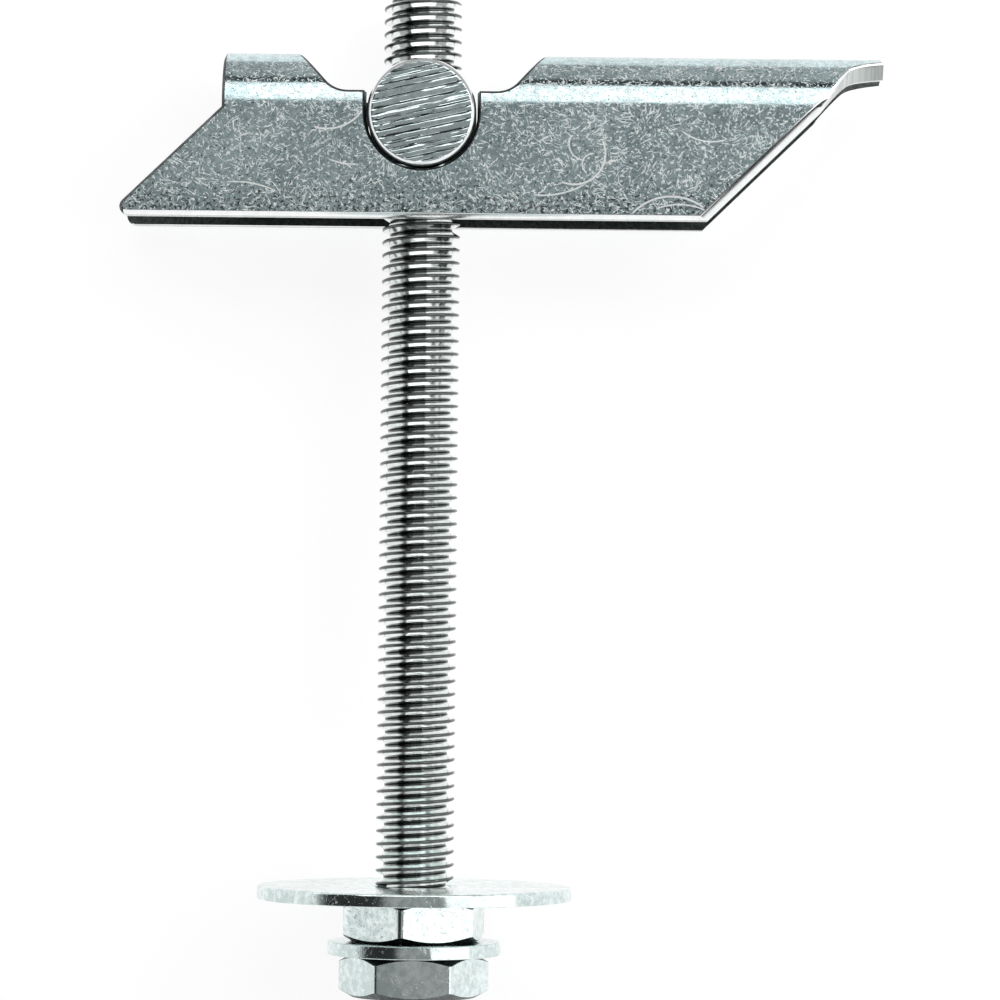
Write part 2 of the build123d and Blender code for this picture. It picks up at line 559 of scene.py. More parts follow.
@dataclass(frozen=True)
class FoldedZinc(ZincFinish):
    """Zinc on the folded sheet, with its scratches and its dark grit laid out on the flat blank."""

    scrapes: tuple[Scrape, ...] = ()
    grit_scale: float = 3300.0
    grit_detail: float = 3.0
    grit_rough: float = 0.7
    grit_range: Span = (0.62, 0.68)
    grit_share: float = 0.92
    worn_range: Span = (11.5 * MM, 15.4 * MM)
    worn_more: float = 0.12

    def coordinates(self, sheet: NodeSheet) -> Socket:
        """Place on the flat blank, in metres."""
        return sheet.add("ShaderNodeUVMap", uv_map="blank").outputs["UV"]

    def local_scars(self, sheet: NodeSheet, scratches_and_glints: Socket) -> Socket:
        """Add the long curved scratches.

        Args:
            sheet: The material's node sheet.
            scratches_and_glints: The mask of the fine scratches and of the painted glints.

        Returns:
            The mask of them all.
        """
        for scrape in self.scrapes:
            scratches_and_glints = sheet.math("MAXIMUM", scratches_and_glints, scrape.mask(sheet, self.coordinates(sheet)))
        return scratches_and_glints

    def local_tint(self, sheet: NodeSheet, colour: Socket) -> Socket:
        """Add dark grit that thickens towards the bearing edges.

        Args:
            sheet: The material's node sheet.
            colour: The clean colour.

        Returns:
            The colour with the grit.
        """
        place = self.coordinates(sheet)
        drop = sheet.math("ABSOLUTE", sheet.split(place)[1])
        near = sheet.remap(drop, self.worn_range, (0.0, self.worn_more))
        grit = sheet.noise(place, self.grit_scale, self.grit_detail, self.grit_rough)
        share = sheet.remap(sheet.math("ADD", grit, near), self.grit_range, (0.0, self.grit_share))
        return sheet.blend(share, colour, self.speck_tint)


@dataclass(frozen=True)
class PulledEdge(FoldedZinc):
    """The smooth round that the shear pulls into the outer face along its edge."""

    def local_tint(self, sheet: NodeSheet, colour: Socket) -> Socket:
        """Leave the round clean."""
        return colour


@dataclass(frozen=True)
class ShearedEdge(PulledEdge):
    """The sheet's cut face, with fine marks through its thickness."""

    mark_scale: float = 3800.0
    mark_rough: float = 0.7
    mark_range: Span = (0.56, 0.7)
    mark_share: float = 0.8
    mark_height: float = 2.5
    mark_tint: Tint = (0.16, 0.18, 0.175, 1.0)

    def marks(self, sheet: NodeSheet) -> Socket:
        """Marks that run through the thickness, because the blank's coordinates don't change there."""
        return sheet.noise(self.coordinates(sheet), self.mark_scale, rough=self.mark_rough)

    def local_tint(self, sheet: NodeSheet, colour: Socket) -> Socket:
        """Darken the deeper marks."""
        share = sheet.remap(self.marks(sheet), self.mark_range, (0.0, self.mark_share))
        return sheet.blend(share, colour, self.mark_tint)

    def local_height(self, sheet: NodeSheet, height: Socket) -> Socket:
        """Add the marks that the shear leaves through the thickness."""
        return sheet.math("ADD", height, sheet.math("MULTIPLY", self.marks(sheet), self.mark_height))


@dataclass(frozen=True)
class RolledThread(ZincFinish):
    """Zinc on a rolled thread, with painted shade that is black down in the grooves and dark on the crests.
    """

    end_radius: float = 2.36 * MM
    root_radius: float = 2.386 * MM
    root_fade: float = 0.06 * MM
    # Painted shade down in the grooves.
    groove_shade: Tint = (0.015, 0.02, 0.019, 1.0)
    crest_radius: float = 2.845 * MM
    crest_fade: float = 0.03 * MM
    crest_share: float = 0.9
    # Painted shade along the crests.
    crest_shade: Tint = (0.035, 0.042, 0.04, 1.0)

    def local_tint(self, sheet: NodeSheet, colour: Socket) -> Socket:
        """Paint shade into the grooves and along the crests, but not the ends, by the distance from the rod's
        axis.

        Args:
            sheet: The material's node sheet.
            colour: The plating's colour.

        Returns:
            The colour with the painted shade.
        """
        x, _, z = sheet.split(self.coordinates(sheet))
        squares = sheet.math("ADD", sheet.math("POWER", x, 2.0), sheet.math("POWER", z, 2.0))
        reach = sheet.math("SQRT", squares)
        crest_range = (self.crest_radius, self.crest_radius + self.crest_fade)
        crest = sheet.remap(reach, crest_range, (0.0, self.crest_share))
        groove = sheet.remap(reach, (self.root_radius, self.root_radius + self.root_fade), (1.0, 0.0))
        groove = sheet.math("MULTIPLY", groove, sheet.math("GREATER_THAN", reach, self.end_radius))
        # Painted shade: black in the grooves and dark on the crests.
        return sheet.blend(groove, sheet.blend(crest, colour, self.crest_shade), self.groove_shade)


@dataclass(frozen=True)
class SawnFace(ZincFinish):
    """Bright steel with painted shade at the bottom of its saw marks.

    The mark range and the deepest place are shares of the mark depth.
    """

    face_at: float = 4.85 * MM
    mark_depth: float = 0.05 * MM
    mark_range: Span = (0.55, 0.9)
    mark_share: float = 0.95
    deepest: float = 1.1
    # Painted shade at the bottom of the saw marks.
    mark_tint: Tint = (0.03, 0.04, 0.038, 1.0)

    def local_tint(self, sheet: NodeSheet, colour: Socket) -> Socket:
        """Paint shade into the marks by their depth under the face.

        Args:
            sheet: The material's node sheet.
            colour: The steel's colour.

        Returns:
            The colour with the painted shade in its marks.
        """
        height = sheet.math("ABSOLUTE", sheet.split(self.coordinates(sheet))[2])
        depth = sheet.math("SUBTRACT", self.face_at, height)
        low, high = self.mark_range
        span = (low * self.mark_depth, high * self.mark_depth)
        lines = sheet.remap(depth, span, (0.0, self.mark_share))
        ends = sheet.math("LESS_THAN", depth, self.deepest * self.mark_depth)
        # Painted shade, deeper marks darker.
        return sheet.blend(sheet.math("MULTIPLY", lines, ends), colour, self.mark_tint)


ZINC_SHEET = FoldedZinc(
    "scratched_zinc_sheet",
    light=(0.7, 0.86, 0.88, 1.0),
    dark=(0.42, 0.54, 0.56, 1.0),
    scratches=0.66,
    scratch_and_glint_share=1.0,
    specks=0.62,
    glints=0.78,
    scratch_and_glint_metal=0.12,
    scrapes=(
        Scrape((11.6, 10.6), 2.35, 45.0, 70.0, 0.11),
        Scrape((9.2, 7.4), 6.4, 78.0, 22.0, 0.09),
        Scrape((12.4, 9.9), 1.2, 150.0, 60.0),
        Scrape((13.0, 11.4), 0.8, 200.0, 75.0),
        Scrape((19.0, 17.8), 4.0, -95.0, 44.0, 0.11),
        Scrape((19.6, 19.0), 4.6, -85.0, 30.0),
        Scrape((-7.2, 5.6), 3.3, 70.0, 38.0, 0.1),
        Scrape((-5.0, 6.4), 5.2, 100.0, 18.0, 0.09),
        Scrape((22.0, 6.0), 3.6, 100.0, 30.0),
        Scrape((-14.0, 20.0), 7.0, -80.0, 20.0),
    ),
)
# Near-black copy of the sheet's zinc: painted shade on the inner face and on the edges pulled in along the
# light end and the opening.
SHADE_PAINTED_ZINC = FoldedZinc(
    "zinc_with_painted_shade",
    light=(0.13, 0.145, 0.14, 1.0),
    dark=(0.06, 0.07, 0.068, 1.0),
    scratch_and_glint_tint=(0.2, 0.22, 0.21, 1.0),
    gloss_low=0.45,
    gloss_high=0.6,
    scratches=0.3,
)
# Near-white copy of the sheet's zinc: the pulled round is real, and its white is a painted highlight.
PULLED_EDGE = PulledEdge(
    "pulled_edge_with_painted_highlight",
    light=(0.97, 0.98, 0.98, 1.0),
    dark=(0.88, 0.91, 0.91, 1.0),
    scratches=0.2,
    specks=0.1,
    relief=0.1,
)
SHEARED_EDGE = ShearedEdge(
    "sheared_zinc_edge",
    light=(0.86, 0.9, 0.89, 1.0),
    dark=(0.6, 0.65, 0.64, 1.0),
    metal=0.35,
    scratches=0.2,
    specks=0.25,
    relief=0.4,
)
ZINC_THREAD = RolledThread(
    "rolled_zinc_thread",
    light=(0.95, 0.97, 0.96, 1.0),
    dark=(0.84, 0.87, 0.86, 1.0),
    scratches=0.2,
    specks=0.2,
    relief=0.2,
)
ZINC_HARDWARE = ZincFinish(
    "bright_zinc_hardware",
    light=(0.86, 0.95, 0.94, 1.0),
    dark=(0.56, 0.66, 0.65, 1.0),
    scratch_and_glint_metal=0.7,
    scratches=0.5,
    specks=0.34,
    glints=0.6,
)
# Near-white finish for the pin's broken edges: the edge is real, and its white is a painted highlight.
BROKEN_EDGE = ZincFinish(
    "broken_edge_with_painted_highlight",
    light=(0.96, 0.98, 0.98, 1.0),
    dark=(0.9, 0.93, 0.93, 1.0),
    scratches=0.1,
    specks=0.2,
    glints=0.1,
    relief=0.1,
)
# Near-black copy of the hardware zinc: painted shade on the nuts' chamfers.
NUT_CHAMFER_SHADE = ZincFinish(
    "chamfer_with_painted_shade",
    light=(0.12, 0.14, 0.135, 1.0),
    dark=(0.05, 0.06, 0.058, 1.0),
    scratch_and_glint_tint=(0.3, 0.33, 0.32, 1.0),
    gloss_low=0.3,
    gloss_high=0.42,
    scratches=0.2,
)
SAWN_STEEL = SawnFace(
    "sawn_pin_steel",
    light=(0.78, 0.9, 0.9, 1.0),
    dark=(0.56, 0.66, 0.66, 1.0),
    scratches=0.2,
    specks=0.35,
    relief=0.15,
)


# ---------------------------------------------------------------- mesh helpers


def around(r: float, y: float, angle: float) -> Triple:
    """Point at a radius and an angle about the rod's axis, at a height on it."""
    return r * math.sin(angle), y, r * math.cos(angle)


def evenly(start: float, end: float, steps: int) -> list[float]:
    """Evenly spaced values from start to end, both included."""
    return [start + (end - start) * step / steps for step in range(steps + 1)]


def quads(rings: list[list[Corner]]) -> list[tuple[Corner, ...]]:
    """Join closed rings of corners with quads.

    Args:
        rings: The rings in order, all with the same number of corners.

    Returns:
        The corners of each quad.
    """
    made = []
    for upper, lower in zip(rings, rings[1:]):
        made += [(upper[i - 1], upper[i], lower[i], lower[i - 1]) for i in range(len(upper))]
    return made


def link(made: Piece) -> Piece:
    """Link an object to the scene."""
    bpy.context.scene.collection.objects.link(made)
    return made


def object_from(
    name: str,
    points: Iterable[Iterable[float]],
    faces: Iterable[Iterable[int]],
) -> Piece:
    """Make an object from points and faces and link it to the scene.

    Args:
        name: The object's name.
        points: Corners in metres.
        faces: Corner numbers of each face.

    Returns:
        The new object.
    """
    mesh = bpy.data.meshes.new(name)
    mesh.from_pydata([tuple(p) for p in points], [], [tuple(f) for f in faces])
    mesh.validate()
    return link(bpy.data.objects.new(name, mesh))


def shade(made: Piece, sharp_over: float = 32.0) -> None:
    """Shade an object smooth, with sharp edges where its faces meet at more than an angle.

    Args:
        made: The object.
        sharp_over: The angle in degrees.
    """
    bm = bmesh.new()
    bm.from_mesh(made.data)
    bmesh.ops.recalc_face_normals(bm, faces=bm.faces)
    for face in bm.faces:
        face.smooth = True
    limit = math.radians(sharp_over)
    for edge in bm.edges:
        edge.smooth = len(edge.link_faces) == 2 and edge.calc_face_angle(0.0) < limit
    bm.to_mesh(made.data)
    bm.free()


def cut_away(made: Piece, tool: Piece, sliver: float = 2e-8) -> None:
    """Cut one closed solid away from another, and delete the tool.

    Args:
        made: The solid that is cut.
        tool: The solid that is taken away.
        sliver: Length up to which an edge that the cut leaves is dissolved.
    """
    step = made.modifiers.new("cut", "BOOLEAN")
    step.operation = "DIFFERENCE"
    step.solver = "EXACT"
    step.object = tool
    bpy.context.view_layer.update()
    cut = bpy.data.meshes.new_from_object(made.evaluated_get(bpy.context.evaluated_depsgraph_get()))
    bm = bmesh.new()
    bm.from_mesh(cut)
    bmesh.ops.dissolve_degenerate(bm, dist=sliver, edges=bm.edges)
    bm.to_mesh(cut)
    bm.free()
    made.modifiers.clear()
    made.data = cut
    bpy.data.objects.remove(tool)


def coat(made: Piece, plain: ZincFinish, other: ZincFinish, chosen: Callable[[Vector, Vector], bool]) -> None:
    """Give a piece its finish, and some of its faces another one.

    Args:
        made: The piece.
        plain: The finish of most faces.
        other: The finish of the chosen faces.
        chosen: Whether a face is chosen, from its middle and its normal.
    """
    for finish in (plain, other):
        made.data.materials.append(finish.material())
    for side in made.data.polygons:
        side.material_index = int(chosen(side.center, side.normal))


def dress(made: Piece, finish: ZincFinish, body: str, node: str) -> Piece:
    """Give a piece its finish, unless it has one, and its place in the frame.

    Args:
        made: The piece.
        finish: Its finish.
        body: The CAD body that it rides on.
        node: The CAD node that it stands for.

    Returns:
        The piece.
    """
    if not made.data.materials:
        made.data.materials.append(finish.material())
    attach(made, body)
    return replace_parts(made, node)


# ---------------------------------------------------------------- threads


@dataclass(frozen=True)
class MetricThread:
    """A right-hand metric thread along Y.

    The profile runs from one crest to the next: shares of the pitch, and radii in millimetres.
    The skin is made some turns too long at each end, and cut square.
    """

    pitch: float = 1.0 * MM
    crest_at: float = -0.3 * MM
    steps: int = 64
    spare_turns: int = 2
    same_plane: float = 1e-8
    same_point: float = 1e-7
    profile: tuple[Point, ...] = (
        (-0.05, 2.985),
        (0.0, 2.995),
        (0.05, 2.985),
        (0.078, 2.952),
        (0.094, 2.927),
        (0.37, 2.45),
        (0.395, 2.413),
        (0.44, 2.39),
        (0.5, 2.384),
        (0.56, 2.39),
        (0.605, 2.413),
        (0.63, 2.45),
        (0.906, 2.927),
        (0.922, 2.952),
    )

    def solid(
        self,
        name: str,
        low: float,
        high: float,
        radius: Callable[[float, float], float],
    ) -> Piece:
        """Make a closed threaded solid.

        Args:
            name: The object's name.
            low: Its lower end on Y.
            high: Its upper end on Y.
            radius: Gives the radius for a height and the thread's own radius there.

        Returns:
            The solid.
        """
        first = math.floor((low - self.crest_at) / self.pitch) - self.spare_turns
        turns = math.ceil((high - low) / self.pitch) + 2 * self.spare_turns
        points = []
        for step in range(turns * self.steps + 1):
            angle = 2 * math.pi * step / self.steps
            rise = self.crest_at + self.pitch * (first + step / self.steps)
            for share, reach in self.profile:
                y = rise + self.pitch * share
                points.append(around(radius(min(max(y, low), high), reach * MM), y, angle))
        made = object_from(name, points, self.faces(turns))
        self.square_ends(made, low, high)
        return made

    def faces(self, turns: int) -> list[tuple[int, ...]]:
        """Faces of the helical skin, each turn joined to the next one.

        Args:
            turns: How many turns it has.

        Returns:
            The point numbers of each face.
        """
        count = len(self.profile)
        made = []
        for step in range(turns * self.steps):
            for index in range(count):
                here = step * count + index
                if index + 1 < count:
                    above = here + 1
                elif step + self.steps < turns * self.steps:
                    above = (step + self.steps) * count
                else:
                    continue
                made.append((here, here + count, above + count, above))
        return made

    def square_ends(self, made: Piece, low: float, high: float) -> None:
        """Cut a helical skin square at both ends and close it.

        Args:
            made: The skin.
            low: The lower end on Y.
            high: The upper end on Y.
        """
        bm = bmesh.new()
        bm.from_mesh(made.data)
        for y, out in ((low, -1.0), (high, 1.0)):
            bmesh.ops.bisect_plane(
                bm,
                geom=[*bm.verts, *bm.edges, *bm.faces],
                dist=self.same_plane,
                plane_co=(0, y, 0),
                plane_no=(0, out, 0),
                clear_outer=True,
            )
        for y in (low, high):
            rim = [
                edge
                for edge in bm.edges
                if edge.is_boundary and all(abs(v.co.y - y) < self.same_point for v in edge.verts)
            ]
            bmesh.ops.contextual_create(bm, geom=rim)
        bmesh.ops.remove_doubles(bm, verts=bm.verts, dist=self.same_point)
        bm.to_mesh(made.data)
        bm.free()


THREAD = MetricThread()


@dataclass(frozen=True)
class TappedHole:
    """A hole along Y with a countersink at each end, tapped unless its least radius clears the thread."""

    low: float
    high: float
    play: float = 0.03 * MM
    mouth_radius: float = 3.3 * MM
    least: float = 0.0
    margin: float = 0.4 * MM

    def tool(self) -> Piece:
        """Make the solid that cuts the hole.

        Returns:
            The solid, a margin longer than the hole at each end.
        """

        def reach(y: float, thread: float) -> float:
            """Radius of the tool, with its cones past the piece's faces."""
            depth = min(y - self.low, self.high - y)
            return max(thread + self.play, self.least, self.mouth_radius - depth)

        return THREAD.solid("hole_tool", self.low - self.margin, self.high + self.margin, reach)


@dataclass
class ThreadedRod:
    """The rod, with a rolled thread from end to end."""

    node: str = "threaded_rod"
    body: str = "rod"
    end_radius: float = 2.34 * MM
    sharp_over: float = 40.0

    def build(self) -> Piece:
        """Make the rod.

        Returns:
            The rod.
        """
        low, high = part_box(self.node)

        def reach(y: float, thread: float) -> float:
            """Radius of the thread, less the cone at each end."""
            return min(thread, self.end_radius + min(y - low.y, high.y - y))

        made = THREAD.solid("threaded_rod_rolled", low.y, high.y, reach)
        shade(made, self.sharp_over)
        return dress(made, ZINC_THREAD, self.body, self.node)


# ---------------------------------------------------------------- hardware


@dataclass
class FlatWasher:
    """A stamped flat washer on the rod, with its upper edges rolled by the punch."""

    node: str
    body: str
    hole_radius: float = 3.2 * MM
    roll: float = 0.2 * MM
    roll_steps: int = 6
    burr: float = 0.05 * MM
    steps: int = 128

    def build(self) -> Piece:
        """Make the washer by turning its section about the rod.

        Returns:
            The washer.
        """
        low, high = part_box(self.node)
        section = self.section((high.x - low.x) / 2, low.y, high.y)
        count = len(section)
        points = []
        for step in range(self.steps):
            points += [around(r, y, 2 * math.pi * step / self.steps) for r, y in section]
        rings = [list(range(count * step, count * (step + 1))) for step in range(self.steps)]
        made = object_from(self.node + "_stamped", points, quads([*rings, rings[0]]))
        shade(made)
        return dress(made, ZINC_HARDWARE, self.body, self.node)

    def section(self, outer: float, low: float, high: float) -> list[Point]:
        """Section of the washer, from the hole's lower edge round to its upper one.

        Args:
            outer: The washer's radius.
            low: Its lower face on Y.
            high: Its upper face on Y.

        Returns:
            Radius and height of each corner.
        """
        burr = self.burr
        made = [(self.hole_radius + burr, low), (self.hole_radius + 2 * burr, low)]
        made += [(outer - 2 * burr, low), (outer - burr, low), (outer, low + burr)]
        made += self.quarter(outer - self.roll, high - self.roll, 1)
        made += self.quarter(self.hole_radius + self.roll, high - self.roll, -1)[::-1]
        return [*made, (self.hole_radius, low + burr)]

    def quarter(self, centre_r: float, centre_y: float, way: int) -> list[Point]:
        """Points of the rolled edge, from the rim to the face.

        Args:
            centre_r: Radius of the round's centre.
            centre_y: Height of the round's centre.
            way: 1 at the outer rim and -1 at the hole.

        Returns:
            The points, with one more on the face to hold it flat.
        """
        arc = evenly(0.0, math.pi / 2, self.roll_steps)
        made = [(centre_r + way * self.roll * math.cos(a), centre_y + self.roll * math.sin(a)) for a in arc]
        return [*made, (centre_r - way * self.burr, centre_y + self.roll)]


@dataclass
class ThinNut:
    """A thin hexagon nut with chamfered corners and a tapped hole.

    The hexagon's corners are the rounder, the lower the corner power is. Facing is the least
    cosine at which a side of it counts.
    """

    node: str
    body: str
    turn: float
    flats: float = 10.0 * MM
    face_share: float = 0.95
    rim_share: float = 0.97
    slope: float = math.tan(math.radians(30.0))
    corner_power: float = 60.0
    facing: float = 0.1
    bevel: float = 0.02 * MM
    bevel_drop: float = 0.03 * MM
    chamfer_from: float = 0.96
    chamfer_tilt: Span = (0.2, 0.95)
    sharp_over: float = 25.0
    steps: int = 240

    @property
    def face(self) -> float:
        """Radius of the flat face inside the chamfer."""
        return self.flats / 2 * self.face_share

    def reach(self, angle: float) -> float:
        """Distance from the axis to the hexagon's side, with its corners slightly round.

        Args:
            angle: Angle about the rod in radians.

        Returns:
            The distance in metres.
        """
        total = 0.0
        for side in range(6):
            along = math.cos(angle - math.pi / 3 * side)
            if along > self.facing:
                total += (along / (self.flats / 2)) ** self.corner_power
        return total ** (-1.0 / self.corner_power)

    def outline(self, angle: float, low: float, high: float) -> list[Point]:
        """Outline of the nut at an angle, from the lower face over the side to the upper one.

        Args:
            angle: Angle from the middle of a side in radians.
            low: The lower face on Y.
            high: The upper face on Y.

        Returns:
            Radius and height of each corner.
        """
        r = self.reach(angle)
        inner = min(self.face, r)
        drop = max(r - self.face, 0.0) * self.slope
        half = [(inner * self.rim_share, 0.0), (inner, 0.0)]
        half += [(r - self.bevel, drop), (r, drop + self.bevel_drop)]
        return [(q, low + depth) for q, depth in half] + [(q, high - depth) for q, depth in half[::-1]]

    def blank(self) -> Piece:
        """Make the nut without its hole.

        Returns:
            The solid.
        """
        low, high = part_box(self.node)
        points = [(0.0, low.y, 0.0), (0.0, high.y, 0.0)]
        for step in range(self.steps):
            angle = 2 * math.pi * step / self.steps
            outline = self.outline(angle, low.y, high.y)
            points += [around(r, y, angle + self.turn) for r, y in outline]
        rings = [list(range(2 + level, len(points), len(outline))) for level in range(len(outline))]
        faces = quads(rings)
        for centre, rim in ((0, rings[0]), (1, rings[-1])):
            faces += [(centre, rim[i - 1], rim[i]) for i in range(self.steps)]
        return object_from(self.node + "_tapped", points, faces)

    def build(self) -> Piece:
        """Make the nut.

        Returns:
            The nut.
        """
        low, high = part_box(self.node)
        made = self.blank()
        shade(made)
        cut_away(made, TappedHole(low.y, high.y).tool())
        shade(made, self.sharp_over)

        def chamfered(centre: Vector, normal: Vector) -> bool:
            """Whether a face belongs to one of the two chamfers."""
            beyond = math.hypot(centre.x, centre.z) > self.face * self.chamfer_from
            return beyond and self.chamfer_tilt[0] < abs(normal.y) < self.chamfer_tilt[1]

        # The two chamfers get a near-black painted shade.
        coat(made, ZINC_HARDWARE, NUT_CHAMFER_SHADE, chamfered)
        return dress(made, ZINC_HARDWARE, self.body, self.node)


@dataclass
class CrossPin:
    """The round nut that the bar tilts on, sawn from bar, with a plain hole that clears the rod.

    The line rates are radians a millimetre for the saw's wide, narrow and fine lines, and the
    line shares weigh the last two against the first.
    """

    node: str = "cross_pin"
    body: str = "pin"
    chamfer: float = 0.34 * MM
    edge_round: float = 0.02 * MM
    side_start: float = 0.06 * MM
    chamfer_tilt: Span = (0.3, 0.95)
    bore: float = 3.05 * MM
    mouth_radius: float = 3.15 * MM
    saw_turn: float = math.radians(13.0)
    mark_depth: float = 0.05 * MM
    mark_fade: float = 0.1 * MM
    mark_bite: float = 5.0
    mark_from: float = 0.68
    line_rates: Triple = (13.0, 29.0, 47.0)
    line_shares: Point = (0.45, 0.25)
    patch_share: float = 0.3
    sharp_over: float = 28.0
    rows: int = 260
    columns: int = 28

    @property
    def radius(self) -> float:
        """Radius of the pin."""
        low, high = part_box(self.node)
        return (high.x - low.x) / 2

    def mark(self, across: float, along: float) -> float:
        """Depth of the saw's marks at a point of the sawn face: lines of three widths, in patches.

        Args:
            across: Distance across the marks in metres.
            along: Distance along them in metres.

        Returns:
            The depth in metres.
        """
        a = across / MM
        b = along / MM
        wide_rate, narrow_rate, fine_rate = self.line_rates
        narrow_share, fine_share = self.line_shares
        wide = math.sin(wide_rate * a + 0.35 * math.sin(0.9 * b) + 1.3 * math.sin(2.1 * a))
        narrow = math.sin(narrow_rate * a + 0.25 * b + 2.0 * math.sin(3.3 * a))
        fine = math.sin(fine_rate * a - 0.4 * b)
        patch = math.sin(2.3 * b + 3.1 * a) * math.sin(5.3 * a - 1.2 * b)
        wave = wide + narrow_share * narrow + fine_share * fine + self.patch_share * patch
        return self.mark_depth / (1.0 + math.exp(self.mark_bite * (self.mark_from - wave)))

    def sawn_rows(self, z: float, side: Side) -> list[list[Vector]]:
        """Points of a sawn face, in rows along the marks from rim to rim.

        Args:
            z: Height of the face.
            side: Which end of the pin it is.

        Returns:
            The rows, of which the first and the last are a single point.
        """
        face = self.radius - self.chamfer
        turn = Matrix.Rotation(self.saw_turn, 3, "Z")
        rows = []
        for row in range(self.rows + 1):
            across = -face * math.cos(math.pi * row / self.rows)
            half = math.sqrt(max(face * face - across * across, 0.0))
            line = []
            for along in evenly(-half, half, self.columns) if 0 < row < self.rows else [0.0]:
                fade = min((face - math.hypot(across, along)) / self.mark_fade, 1.0)
                place = turn @ Vector((along, across, 0.0))
                place.z = z - side.value * self.mark(across, along) * fade
                line.append(place)
            rows.append(line)
        return rows

    def sawn_faces(self, grid: list[list[int]]) -> list[tuple[int, ...]]:
        """Faces between the rows of a sawn face.

        Args:
            grid: Point numbers of the rows.

        Returns:
            The point numbers of each face.
        """
        made = []
        for lower, upper in zip(grid, grid[1:]):
            if len(lower) == 1 or len(upper) == 1:
                tip, line = (lower[0], upper) if len(lower) == 1 else (upper[0], lower)
                made += [(tip, line[i], line[i + 1]) for i in range(self.columns)]
            else:
                made += [(lower[i], lower[i + 1], upper[i + 1], upper[i]) for i in range(self.columns)]
        return made

    def blank(self) -> Piece:
        """Make the pin without its hole: two sawn faces, and rings that join their rims.

        Returns:
            The solid.
        """
        low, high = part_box(self.node)
        points: list[Vector] = []
        faces: list[tuple[int, ...]] = []
        rims = []
        for side, z in ((Side.UPPER, high.z), (Side.LOWER, low.z)):
            grid = []
            for row in self.sawn_rows(z, side):
                grid.append(list(range(len(points), len(points) + len(row))))
                points += row
            faces += self.sawn_faces(grid)
            rims.append([line[-1] for line in grid] + [line[0] for line in grid[-2:0:-1]])
        ways = [Vector((points[index].x, points[index].y)).normalized() for index in rims[0]]
        radius = self.radius
        stations = [(radius - self.chamfer + self.edge_round, self.edge_round / 2)]
        stations.append((radius - self.edge_round, self.chamfer))
        stations.append((radius, self.chamfer + self.side_start))
        heights = [(reach, high.z - drop) for reach, drop in stations]
        heights += [(reach, low.z + drop) for reach, drop in stations[::-1]]
        rings = [rims[0]]
        for reach, z in heights:
            rings.append(list(range(len(points), len(points) + len(ways))))
            points += [Vector((way.x * reach, way.y * reach, z)) for way in ways]
        return object_from("cross_pin_sawn", points, faces + quads([*rings, rims[1]]))

    def build(self) -> Piece:
        """Make the pin.

        Returns:
            The pin.
        """
        low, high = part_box(self.node)
        face = self.radius - self.chamfer
        made = self.blank()
        shade(made, self.sharp_over)
        cut_away(made, TappedHole(low.x, high.x, mouth_radius=self.mouth_radius, least=self.bore).tool())
        shade(made, self.sharp_over)

        def broken(centre: Vector, normal: Vector) -> bool:
            """Whether a face belongs to the broken edge of one of the ends."""
            rim = math.hypot(centre.x, centre.y) > face
            return rim and self.chamfer_tilt[0] < abs(normal.z) < self.chamfer_tilt[1]

        # The broken edges get a near-white painted highlight.
        coat(made, SAWN_STEEL, BROKEN_EDGE, broken)
        return dress(made, SAWN_STEEL, self.body, self.node)


# ---------------------------------------------------------------- toggle bar


class Edge(Enum):
    """The blank's two closed edges, with 1 where the metal is on their left and -1 on their right."""

    BLANK = 1.0
    OPENING = -1.0


class Surface(Enum):
    """Kinds of surface on the bar, as numbers of its materials."""

    OUTER = 0
    CUT = 1
    # Painted shade, on the inner face and on some pulled edges.
    INSIDE = 2
    # Near-white painted highlight on the pulled round.
    PULLED = 3


BAR_FINISHES = {
    Surface.OUTER: ZINC_SHEET,
    Surface.CUT: SHEARED_EDGE,
    Surface.INSIDE: SHADE_PAINTED_ZINC,
    Surface.PULLED: PULLED_EDGE,
}


def inset(
    corners: list[Point],
    width: Callable[[Vector, Vector], float],
    way: float,
    straight: float = 0.08,
) -> list[Point]:
    """Move a closed outline sideways, each of its edges by a width of its own.

    Args:
        corners: The outline's corners.
        width: Gives how far an edge moves, from its middle and its outward normal.
        way: 1 where the metal is on the left of the edges, and -1 where it is on the right.
        straight: Sine of the turn up to which two edges count as one straight line.

    Returns:
        The moved corners.
    """
    count = len(corners)
    steps = []
    for i in range(count):
        start, end = Vector(corners[i]), Vector(corners[(i + 1) % count])
        along = (end - start).normalized()
        normal = Vector((-along.y, along.x)) * way
        steps.append((normal, width((start + end) / 2, -normal)))
    moved = []
    for i in range(count):
        (first, near), (second, far) = steps[i - 1], steps[i]
        turn = first.x * second.y - first.y * second.x
        if abs(turn) > straight:
            shift = Vector((near * second.y - far * first.y, far * first.x - near * second.x)) / turn
        else:
            middle = first + second
            shift = middle * ((near + far) / 2 / max(1e-6, first.dot(middle)))
        moved.append(tuple(Vector(corners[i]) + shift))
    return moved


def eased(corners: list[Point], radii: list[float], steps: int = 6) -> list[Point]:
    """Round the corners of a polygon.

    Args:
        corners: The corners in order.
        radii: Radius at each corner, 0 where it stays sharp.
        steps: Segments in each round.

    Returns:
        The rounded polygon's corners.
    """
    made: list[Point] = []
    count = len(corners)
    for i, radius in enumerate(radii):
        here = Vector(corners[i])
        if radius == 0.0:
            made.append(tuple(here))
            continue
        to_before = (Vector(corners[i - 1]) - here).normalized()
        to_after = (Vector(corners[(i + 1) % count]) - here).normalized()
        half = to_before.angle(to_after) / 2
        centre = here + (to_before + to_after).normalized() * (radius / math.sin(half))
        start = here + to_before * (radius / math.tan(half)) - centre
        end = here + to_after * (radius / math.tan(half)) - centre
        sweep = start.angle_signed(end)
        for step in range(steps + 1):
            turned = start.copy()
            turned.rotate(Matrix.Rotation(-sweep * step / steps, 2))
            made.append(tuple(centre + turned))
    return made


